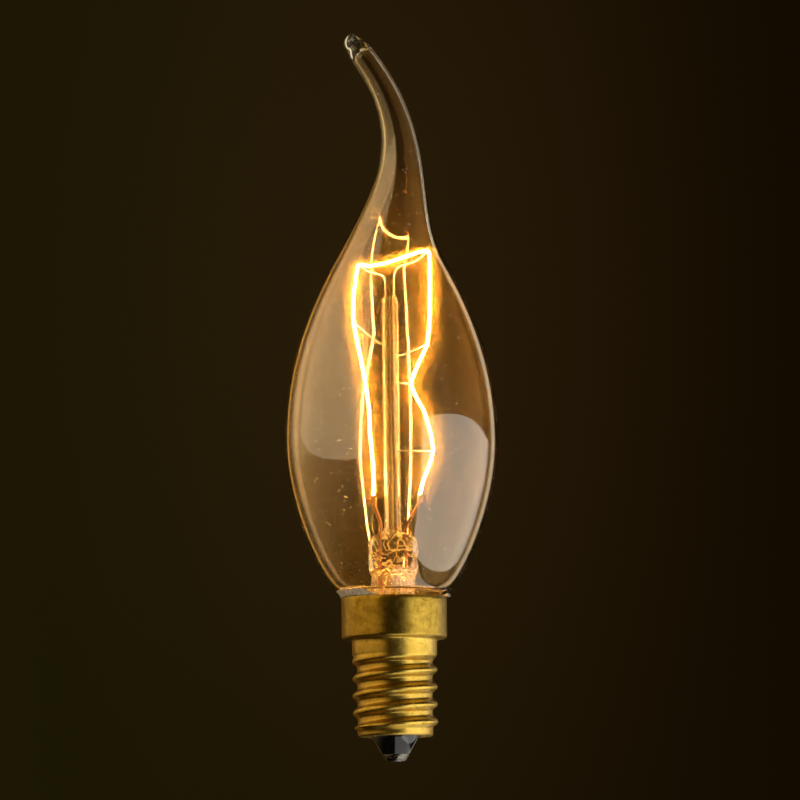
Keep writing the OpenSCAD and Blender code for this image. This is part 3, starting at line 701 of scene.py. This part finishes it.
# The filament's corners: share of its reach to the right, and share of its height
LEFT = [(-0.456, 0), (-0.441, 0.06), (-0.471, 0.16), (-0.515, 0.24), (-0.529, 0.35), (-0.603, 0.45),
        (-0.706, 0.55), (-0.809, 0.64), (-0.882, 0.71), (-0.868, 0.82), (-0.75, 0.945)]
TOP = [(-0.5, 0.935), (-0.103, 0.945), (0.265, 0.965), (0.706, 0.99)]
RIGHT = [(0.985, 0.91), (0.971, 0.81), (0.956, 0.72), (0.897, 0.615), (0.676, 0.54), (0.471, 0.455),
         (0.574, 0.41), (0.794, 0.34), (0.941, 0.25), (1, 0.18), (0.897, 0.12), (0.735, 0.055), (0.662, 0)]
CORNER_X = tail_at(HOOK_Z) - GLASS_WALL * 1.2 - FILAMENT_R - 2 * SUPPORT_R - LOOP_ROOM - HOOK_ROOM
CORNER_LEFT = len(LEFT) - 1
CORNER_RIGHT = len(LEFT) + len(TOP)


def fil_point(q):
    side = 1 if q[0] > 0 else -1
    return Vector((FIL_REACH * q[0], FIL_BOW * math.sin(math.pi * q[1]) * side, mix(CLAMP_Z, HOOK_Z, q[1])))


FIL_CORNERS = [fil_point(q) for q in LEFT + TOP + [(CORNER_X / FIL_REACH, 1)] + RIGHT]


def fil_bend(i):
    """Start, corner and end of the filament's bend at corner i."""
    p = FIL_CORNERS[i]
    a, b = (FIL_CORNERS[i - 1] - p).normalized(), (FIL_CORNERS[i + 1] - p).normalized()
    return p + FIL_RUN * a, p, p + FIL_RUN * b


def filament_path():
    down = Vector((0, 0, -0.8))
    path = [FIL_CORNERS[0] + down, FIL_CORNERS[0]]
    for i in range(1, len(FIL_CORNERS) - 1):
        a, b, c = fil_bend(i)
        path += [a * (1 - t) ** 2 + b * 2 * t * (1 - t) + c * t * t for t in [k / 8 for k in range(9)]]
    path += [FIL_CORNERS[-1], FIL_CORNERS[-1] + down]
    return path


def coil_shape(path):
    """The wire wound into a close coil along the path."""
    wire_r, coil_r, pitch, steps = 0.042, 0.2, 0.15, 10
    line = evenly(path, pitch / steps)
    helix = []
    for i, (p, (_, a, b)) in enumerate(zip(line, frames(line))):
        g = 2 * math.pi * i / steps
        helix.append(p + coil_r * (math.cos(g) * a + math.sin(g) * b))
    return tube(helix, wire_r, 5)


def support_shape(start, via, i):
    """A support: along its points, then once round the filament's corner i."""
    bow = fil_bend(i)
    p = FIL_CORNERS[i]
    c = p + FIL_RUN / 4 * ((bow[0] - p) + (bow[2] - p)) / FIL_RUN
    t = (bow[2] - bow[0]).normalized()
    d = (c - Vector(via[-1])).normalized()
    d = (d - t * d.dot(t)).normalized()
    u = t.cross(d) * -1
    r = FILAMENT_R + LOOP_ROOM + SUPPORT_R
    angles = [math.radians(g) for g in range(0, 289, 24)]
    turn = [c + r * (u * math.cos(g) + d * math.sin(g)) for g in angles]
    return tube(through([start] + list(via) + turn, 0.12), SUPPORT_R, 10)


def side_support(part, side, i):
    z = mix(CLAMP_Z, HOOK_Z, part)
    return support_shape((side * 0.55, 0, z), [(side * 1.75, 0, z)], i)


def top_support(side, i):
    up = Vector((side * ROD_R / 2, 0, ROD_TOP_Z + 1))
    way = FIL_CORNERS[i] - up
    via = [up, up + Vector((0.09 * way.x, 0.3, 0.53 * way.z)), up + Vector((0.64 * way.x, 1.2, 0.75 * way.z))]
    return support_shape(up - Vector((0, 0, 1.8)), via, i)


def clamp_shape(at, side):
    """The lead's flattened end, folded round the filament's leg with its two edges pressed together."""
    bore, wall, tab, height, grip = 0.3, 0.22, 1.05, 1.3, 0.9
    start = math.asin(wall / (bore + wall))
    angles = [mix(start, 2 * math.pi - start, k / 32) for k in range(33)]
    outline = [Vector((side * (bore + wall) * math.cos(a), (bore + wall) * math.sin(a), 0)) for a in angles]
    for x, y in ((0.75, -1), (0.97, -1), (1.0, -0.6), (1.0, -0.08), (0.96, 0), (1.0, 0.08), (1.0, 0.6),
                 (0.97, 1), (0.75, 1)):
        outline.append(Vector((side * tab * x, wall * y, 0)))
    low, top = at.z - height, at.z
    place = Vector((at.x, at.y, 0))
    inside = [Vector((side * bore * math.cos(a), bore * math.sin(a), 0)) for a in angles]
    inside += [Vector((side * bore, bore * y, 0)) for y in (-0.6, -0.5, -0.3, -0.1, 0, 0.1, 0.3, 0.5, 0.6)]
    centre = Vector((side * 0.2, 0, 0))
    rings = []
    for z, shrink in ((low, 0.9), (low + 0.05, 1.0), (top - 0.05, 1.0), (top, 0.96)):
        rings.append([place + centre + (p - centre) * shrink + Vector((0, 0, z)) for p in outline])
    rings.append([place + p + Vector((0, 0, top)) for p in inside])
    rings.append([place + p + Vector((0, 0, top - grip)) for p in inside])
    rings = [[place + centre + Vector((0, 0, low))]] + rings + [[place + Vector((0, 0, top - grip))]]
    return loft(rings)


def inner_lead_shape(side, end, bow):
    foot = end.z - 1.1
    x = side * LEAD_X
    path = [(x, 0, WIRE_TOP_Z), (x, 0, ROD_Z + 0.3), (x + bow, 0, mix(ROD_Z, foot, 0.35)),
            (mix(x, end.x, 0.75), 0, mix(ROD_Z, foot, 0.8)), (end.x, end.y, foot)]
    return joined(tube(through(path), LEAD_R, 16), clamp_shape(end, side))


# Cap

def thread_at(z, a):
    """Radius of the thread at height z and angle a in degrees."""
    deep = LAND_R - ROOT_R
    wave = 0.5 - 0.5 * math.cos(math.radians(360 * (z - THREAD_Z) / THREAD_PITCH - a - THREAD_START))
    top = min(1, max(0, (LAND_Z - z) / (0.5 * THREAD_PITCH)))
    low = min(1, max(0, (z - THREAD_Z) / (0.25 * THREAD_PITCH)))
    return LAND_R - deep * mix(1, (1 - (1 - wave ** 1.25) ** 1.8) * top, low)


def shell_outside():
    """Outline of the shell's outside as (kind, radius, height). Kind t takes its radius from the thread."""
    thread_rows = 130
    made = [("r", 4.05, EDGE_Z + SHELL_WALL), ("r", 4.05, EDGE_Z)]
    made += [("r", r, z) for r, z in arc(ROOT_R - 0.4, EDGE_Z + 0.4, 0.4, -90, 0, 8)]
    made += [("t", 0, mix(THREAD_Z, LAND_Z, i / thread_rows)) for i in range(1, thread_rows)]
    made += [("r", LAND_R, LAND_Z), ("r", LAND_R, 19.2), ("r", LAND_R + 0.02, 19.6)]
    made += [("r", LAND_R + 0.14, 19.86), ("r", LAND_R + 0.34, COLLAR_Z)]
    made += [("r", r, z) for r, z in arc(COLLAR_R - 0.5, COLLAR_Z + 0.5, 0.5, -90, 0, 8)]
    made += [("r", COLLAR_R, z) for z in (21.5, 23, 24.5, 26, RIM_Z - 0.06)]
    return made + [("r", COLLAR_R - 0.06, RIM_Z)]


def shell_inside():
    """Outline of the shell's inside, from the rim down. Kind s is the thread less the wall."""
    w = SHELL_WALL
    made = [("r", COLLAR_R - w + 0.04, RIM_Z), ("r", COLLAR_R - w, RIM_Z - 0.06)]
    made += [("r", COLLAR_R - w, COLLAR_Z + w + 0.2), ("r", COLLAR_R - w - 0.2, COLLAR_Z + w)]
    made += [("r", LAND_R - w + 0.1, COLLAR_Z + w), ("r", LAND_R - w, COLLAR_Z)]
    made += [("s", 0, mix(LAND_Z, THREAD_Z, i / 60)) for i in range(61)]
    return made + [("r", ROOT_R - w - 0.3, EDGE_Z + w)]


def cap_shape():
    """The drawn shell from the turned-in edge up to the collar's rim, and down again inside."""
    sides, dent = 240, 0.035
    rings = []
    for kind, r, z in shell_outside() + shell_inside():
        made = []
        for k in range(sides):
            a = 360 * k / sides
            x, y = math.cos(math.radians(a)), math.sin(math.radians(a))
            here = r if kind == "r" else thread_at(z, a) - (SHELL_WALL if kind == "s" else 0)
            if kind != "r" or r > 5:
                here += dent * noise.noise(Vector((2.2 * x, 2.2 * y, z * 0.45)))
            made.append(Vector((here * x, here * y, z)))
        rings.append(made)
    return loft(rings, closed=True)


def cement_top(room):
    """Outline of the cement's upper face under the bulb's skin, from the neck outwards."""
    made = []
    for curve, steps, end in ((NECK_CURVE, 8, 1.0), (BOWL_CURVE, 4, 0.1)):
        for i in range(steps + 1):
            t = end * i / steps
            p, way = bezier(*curve, t), bezier_way(*curve, t)
            made.append((p.x + room * way.y, p.y - room * way.x))
    return made


def cement_shape():
    """Cement in the collar. It swells out between rim and bulb on the left and a little at the back."""
    room, sides = 0.06, 144
    out = COLLAR_R - SHELL_WALL - 0.05
    floor_z = COLLAR_Z + SHELL_WALL
    under = cement_top(room)
    top = under[-1]
    full = [(NECK_R + room, floor_z), (out, floor_z), (out, RIM_Z + 0.03), (COLLAR_R - 0.05, RIM_Z + 0.03),
            (COLLAR_R + 0.1, RIM_Z + 0.15), (mix(COLLAR_R, top[0], 0.35), mix(RIM_Z, top[1], 0.45))]
    full += under[::-1]
    low = RIM_Z - 0.5
    sunk = [(min(r, out), min(z, low)) for r, z in full]
    rings = []
    for (r, z), (r0, z0) in zip(full, sunk):
        made = []
        for a in turns(sides):
            x, y = math.cos(a), math.sin(a)
            swell = ease(0.5 + 2.2 * (-x - 0.35) + 0.5 * noise.noise(Vector((3 * x, 3 * y, 5))))
            here = mix(r0, r, swell)
            made.append(Vector((here * x, here * y, mix(z0, z, swell))))
        rings.append(made)
    return loft(rings, closed=True)


def insulator_shape():
    bore = INSULATOR_BORE_R
    outline = [(bore, CONE_Z), (2.3, CONE_Z), (2.4, CONE_Z + 0.08), (3.8, EDGE_Z - 0.25), (3.875, EDGE_Z),
               (3.875, FLANGE_Z), (5.025, FLANGE_Z), (5.725, 5.0), (5.725, 5.9), (5.425, BORE_TOP_Z),
               (bore, BORE_TOP_Z)]
    return lathe(outline, 96)


def plate_shape():
    outline = [(0.35, PLATE_Z), (2.0, PLATE_Z), (2.1, PLATE_Z + 0.04), (2.15, PLATE_Z + 0.14), (2.15, CONE_Z),
               (0.8, CONE_Z), (0.8, CONE_Z + 1), (0.35, CONE_Z + 1)]
    return lathe(outline, 96)


def dome_shape():
    """The uneven solder of the centre contact, worn flat at its lowest point."""
    outline = [(0, PLATE_Z), (1.9, PLATE_Z)]
    for a in range(10, 91, 10):
        g = math.radians(a)
        outline.append((0.7 + 1.2 * math.cos(g), PLATE_Z * (1 - math.sin(g))))
    outline += [(0.35, 0.0), (0, 0.0)]
    points, faces = rough(rough(lathe(outline, 96, closed=False), 0.16, 0.9, 1), 0.05, 0.35, 4)
    return [Vector((p.x, p.y, max(0.0, p.z))) for p in points], faces


def outer_lead_centre_shape():
    path = [(-LEAD_X, 0, WIRE_LOW_Z), (-LEAD_X, 0, 18.2), (-2.35, 0, 8.6), (-1.4, 0, 7.4), (0, 0, 6.4),
            (0, 0, FLANGE_Z), (0, 0, PLATE_Z)]
    return tube(through(path), OUTER_LEAD_R, 10)


def outer_lead_side_shape():
    path = [(LEAD_X, 0, WIRE_LOW_Z), (LEAD_X, 0, 23.2), (2.25, 0, 21.55), (2.95, 0, 20.95), (7.05, 0, 20.95),
            (7.7, 0, 21.15), (7.85, 0, 21.75), (7.85, 0, 26.3), (7.9, 0, 26.96), (8.5, 0, 27.03)]
    return tube(through(path), OUTER_LEAD_R, 10)


def side_solder_shape():
    """A small pool of solder on the rim, over the lead's end."""
    centre = Vector((8.7, 0, RIM_Z + 0.02))
    wide, deep, high = 0.62, 0.8, 0.58
    rings = [[centre]]
    for a in range(0, 90, 15):
        g = math.radians(a)
        x, y, z = wide * math.cos(g), deep * math.cos(g), high * math.sin(g)
        rings.append([centre + Vector((x * math.cos(b), y * math.sin(b), z)) for b in turns(24)])
    rings.append([centre + Vector((0, 0, high))])
    return rough(loft(rings), 0.06, 0.5, 3)


# The whole lamp

def build_glass():
    outside, inside = bulb_glass("blown_glass_outside", False), bulb_glass("blown_glass_inside", True)
    # The last two numbers of each stem glass are the shares of its painted glint lines.
    pressed = stem_glass("pressed_lead_glass", 340, (1, 1, 1), 38, (0.05, 0.6))
    tube_glass = stem_glass("flared_lead_glass", 420, (1, 1, 0.3), 32, (0.03, 0.35))
    drawn = stem_glass("drawn_rod_glass", 900, (1, 1, 0.01), 26, (0.006, 0.2))

    sides = 144
    points, skin, hollow, foot = with_hollow(outer_rings(sides), inner_rings(sides))
    bulb = piece("bulb", (points, hollow + skin + foot), outside, "blown_glass", "envelope")
    bulb.data.materials.append(inside)
    bulb.data.polygons.foreach_set("material_index", [1] * len(hollow) + [0] * len(skin + foot))
    piece("flare_glass", flare_shape(), tube_glass, "stem_glass", "stem_flare")
    piece("exhaust_glass", exhaust_shape(), tube_glass, "stem_glass", "exhaust_tube")
    press = rough(rough(press_shape(), 0.12, 1.6), 0.06, 0.5, 2)
    piece("press_glass", press, pressed, "stem_glass", "stem_press")
    piece("rod_glass", rod_shape(), drawn, "rod_glass", "arbor_rod")


def build_leads():
    along = (1, 1, 0.1)
    nickel = metal("lead_nickel", (0.36, 0.19, 0.09), (0.17, 0.07, 0.03), (0.22, 0.4), along, 3000)
    copper = metal("copper_clad_wire", (0.6, 0.2, 0.08), (0.3, 0.08, 0.03), (0.2, 0.4), along, 3000)
    tinned = metal("tinned_copper", (0.6, 0.56, 0.5), (0.42, 0.3, 0.2), (0.25, 0.45), along, 3000)
    piece("lead_left", inner_lead_shape(-1, FIL_CORNERS[0], 0), nickel, "nickel_wire", "inner_lead_left")
    piece("lead_right", inner_lead_shape(1, FIL_CORNERS[-1], 0.5), nickel, "nickel_wire", "inner_lead_right")
    for side, name in ((-1, "left"), (1, "right")):
        path = [Vector((side * LEAD_X, 0, mix(WIRE_LOW_Z, WIRE_TOP_Z, i / 12))) for i in range(13)]
        piece("dumet_" + name, tube(path, SEAL_WIRE_R, 16), copper, "copper_clad_wire", "seal_wire_" + name)
    piece("tail_lead_centre", outer_lead_centre_shape(), tinned, "tinned_wire", "outer_lead_centre")
    piece("tail_lead_side", outer_lead_side_shape(), tinned, "tinned_wire", "outer_lead_side")


def build_filament():
    moly = metal("support_wire", (0.5, 0.44, 0.38), (0.3, 0.24, 0.2), (0.25, 0.4), (1, 1, 0.1), 4000)
    piece("hook_top_left", top_support(-1, CORNER_LEFT), moly, "support_wire", "top_support_left")
    piece("hook_top_right", top_support(1, CORNER_RIGHT), moly, "support_wire", "top_support_right")
    for name, part, side, i in (("upper_left", 0.62, -1, 8), ("upper_right", 0.57, 1, 19),
                                ("middle", 0.455, 1, 21), ("lower", 0.18, 1, 25)):
        piece("hook_" + name, side_support(part, side, i), moly, "support_wire", "side_support_" + name)
    hot = hot_wire_material()
    piece("filament_coil", coil_shape(filament_path()), hot, "glowing_filament", "filament")


def build_cap():
    even, size, depth, stain = (1, 1, 1), 1500, 0.006, 400
    solder = metal("dull_solder", (0.15, 0.14, 0.12), (0.035, 0.032, 0.027), (0.16, 0.34),
                   even, size, depth, stain)
    joint = metal("bright_solder", (0.8, 0.78, 0.74), (0.55, 0.52, 0.48), (0.14, 0.3),
                  even, size, depth, stain)
    piece("brass_shell", cap_shape(), brass_material(), "cap_brass", "cap_shell", sharp=50)
    piece("cement_ring", rough(cement_shape(), 0.05, 0.6), cement_material(), "cement", "basing_cement")
    piece("black_cone", insulator_shape(), black_glass_material(), "black_glass", "cap_insulator")
    piece("contact_eyelet", rough(plate_shape(), 0.07, 0.8, 2), solder, "contact_brass", "contact_plate")
    piece("solder_dome", dome_shape(), solder, "solder", "centre_solder")
    piece("solder_side", side_solder_shape(), joint, "solder", "side_solder")


# Studio

def softbox(name, azimuth, distance, across, up, radiance, colour, lean=0.0, fade=(0.0, 0.0), far=1.0,
            through=False):
    """A soft lamp in an upright plane that faces the bulb from this azimuth, counted to the right from the
    camera's side. across and up are its two ends in metres along the plane and in height. lean turns it down.
    fade is the share of its height and of its width over which it grows bright from its lower and side
    edges, and far is what is left of its brightness at the end of across. through says whether it also shows
    straight through the glass, when the camera looks towards it."""
    data = bpy.data.lights.new(name, "AREA")
    data.shape = "RECTANGLE"
    data.size, data.size_y = across[1] - across[0], up[1] - up[0]
    data.energy = radiance * math.pi * data.size * data.size_y
    data.color = colour
    a, lean = math.radians(azimuth), math.radians(lean)
    out, along = Vector((math.sin(a), -math.cos(a), 0)), Vector((math.cos(a), math.sin(a), 0))
    facing = out * math.cos(lean) + Vector((0, 0, math.sin(lean)))
    turn = Matrix((along, facing.cross(along), facing)).transposed().to_4x4()
    centre = out * distance + along * sum(across) / 2 + Vector((0, 0, sum(up) / 2))
    lamp = bpy.data.objects.new(name, data)
    lamp.matrix_world = Matrix.Translation(centre) @ turn
    lamp.visible_camera = False
    bpy.context.scene.collection.objects.link(lamp)
    fade_edges(data, *fade, far)
    if not through:
        hide_behind_glass(data.node_tree)


def fade_edges(data, height, width, far):
    data.use_nodes = True
    tree = data.node_tree
    place = node(tree, "SeparateXYZ", {0: node(tree, "NewGeometry").outputs["Parametric"]})
    up = node(tree, "MapRange", {"Value": place.outputs["Y"], "From Max": max(0.001, height)},
              interpolation_type="SMOOTHSTEP").outputs["Result"]
    aside = calc(tree, "ABSOLUTE", calc(tree, "SUBTRACT", place.outputs["X"], 0.5))
    across = node(tree, "MapRange", {"Value": aside, "From Min": 0.5, "From Max": 0.499 - width},
                  interpolation_type="SMOOTHSTEP").outputs["Result"]
    along = node(tree, "MapRange", {"Value": place.outputs["X"], "To Min": 1.0, "To Max": far})
    share = calc(tree, "MULTIPLY", calc(tree, "MULTIPLY", up, across), along.outputs["Result"])
    tree.links.new(share, tree.nodes["Emission"].inputs["Strength"])


def hide_behind_glass(tree):
    """A ray that has only gone through glass doesn't meet the lamp. Mirror images of it stay. What is seen
    through glass also gets less of its light, because the bounce counts are the same there."""
    path = node(tree, "LightPath")
    bounces = calc(tree, "ADD", path.outputs["Glossy Depth"], path.outputs["Diffuse Depth"])
    straight = calc(tree, "LESS_THAN", bounces, 0.5)
    passed = calc(tree, "MINIMUM", path.outputs["Transmission Depth"], 1.0)
    shown = calc(tree, "SUBTRACT", 1.0, calc(tree, "MULTIPLY", straight, passed))
    strength = tree.nodes["Emission"].inputs["Strength"]
    share = calc(tree, "MULTIPLY", strength.links[0].from_socket, shown)
    tree.links.new(share, strength)


def build_lamps():
    neutral, warm, amber, orange = (1.0, 0.96, 0.86), (1.0, 0.84, 0.6), (1.0, 0.71, 0.31), (1.0, 0.5, 0.1)
    rim_fade = (0.1, 0.3)
    softbox("soft_right", 60, 0.3, (-0.168, 0.8), (-0.28, 0.108), 2.65, neutral, fade=(0.0, 0.02), far=0.5)
    softbox("fill_left", -88, 0.4, (-0.5, 0.68), (-0.35, 0.6), 1.15, amber, fade=(0.66, 0.12))
    softbox("rim_right", 143, 0.5, (-0.07, 0.07), (-0.4, 0.5), 0.9, warm, fade=rim_fade, through=True)
    softbox("rim_left", -152, 0.5, (-0.03, 0.03), (-0.35, 0.3), 0.7, orange, fade=rim_fade, through=True)
    softbox("low_right", 90, 0.021, (-0.05, 0.05), (-0.054, -0.006), 1.3, neutral, -90)


def build_floor():
    size, depth = 3.0, -0.35
    corners = [(x * size, y * size, depth) for x, y in ((-1, -1), (1, -1), (1, 1), (-1, 1))]
    mesh = bpy.data.meshes.new("floor")
    mesh.from_pydata(corners, [], [(0, 1, 2, 3)])
    mesh.materials.append(floor_material())
    floor = bpy.data.objects.new("floor", mesh)
    bpy.context.scene.collection.objects.link(floor)


def wall_colour(tree):
    """The dark room, a little lighter to the left of +y, with a faint warm painted glow of the bulb's light
    round +y.
    """
    place = node(tree, "TexCoord").outputs["Generated"]
    way = node(tree, "SeparateXYZ", {0: place}).outputs["X"]
    share = node(tree, "MapRange", {"Value": way, "From Min": -0.05, "From Max": 0.05}).outputs["Result"]
    wall = ramp(tree, share, (0.0, (0.0125, 0.0095, 0.0018)), (1.0, (0.0065, 0.0032, 0.0004)))
    # Painted glow of the bulb's light, centred a little above +y.
    centred = node(tree, "Mapping", {"Vector": place, "Location": (0, 0, -0.054), "Scale": (1, 0, 0.5)})
    away = node(tree, "VectorMath", {0: centred.outputs[0]}, operation="LENGTH").outputs["Value"]
    glow = node(tree, "MapRange", {"Value": away, "From Min": 0.045, "From Max": 0.006},
                interpolation_type="SMOOTHSTEP").outputs["Result"]
    return blend_colour(tree, glow, wall, (0.009, 0.0035, 0.0014, 1), "ADD")


def build_world():
    world = bpy.data.worlds.new("dark_room")
    bpy.context.scene.world = world
    world.use_nodes = True
    tree = world.node_tree
    tree.nodes.clear()
    seen = node(tree, "Background", {"Color": wall_colour(tree), "Strength": 1.0})
    ambient = node(tree, "Background", {"Color": (0.9, 0.86, 0.8, 1), "Strength": 0.12})
    diffuse = node(tree, "LightPath").outputs["Is Diffuse Ray"]
    both = node(tree, "MixShader", {0: diffuse, 1: seen.outputs[0], 2: ambient.outputs[0]})
    out = tree.nodes.new("ShaderNodeOutputWorld")
    tree.links.new(both.outputs[0], out.inputs["Surface"])


def build_camera():
    """A long lens a little below the lamp, rolled so that the lamp leans to the left as photographed."""
    elevation, distance, view_width, roll = -5.5, 1.5, 0.1307, 0.8
    target = Vector((0.00145, 0, 0.05915))
    e = math.radians(elevation)
    data = bpy.data.cameras.new("camera")
    data.sensor_width = 36.0
    data.lens = data.sensor_width * distance / view_width
    camera = bpy.data.objects.new("camera", data)
    place = target + Vector((0, -math.cos(e), math.sin(e))) * distance
    look = (target - place).to_track_quat("-Z", "Y").to_matrix()
    turn = Matrix.Rotation(math.radians(-roll), 3, "Z")
    camera.matrix_world = Matrix.Translation(place) @ (look @ turn).to_4x4()
    bpy.context.scene.collection.objects.link(camera)
    bpy.context.scene.camera = camera


def set_up_render():
    scene = bpy.context.scene
    scene.view_settings.view_transform = "Standard"
    scene.cycles.max_bounces = 24
    scene.cycles.transmission_bounces = 24
    scene.cycles.glossy_bounces = 8
    scene.cycles.transparent_max_bounces = 24
    scene.cycles.sample_clamp_indirect = 40


build_camera()
build_glass()
build_leads()
build_filament()
build_cap()
build_lamps()
build_floor()
build_world()
set_up_render()

bpy.context.view_layer.update()
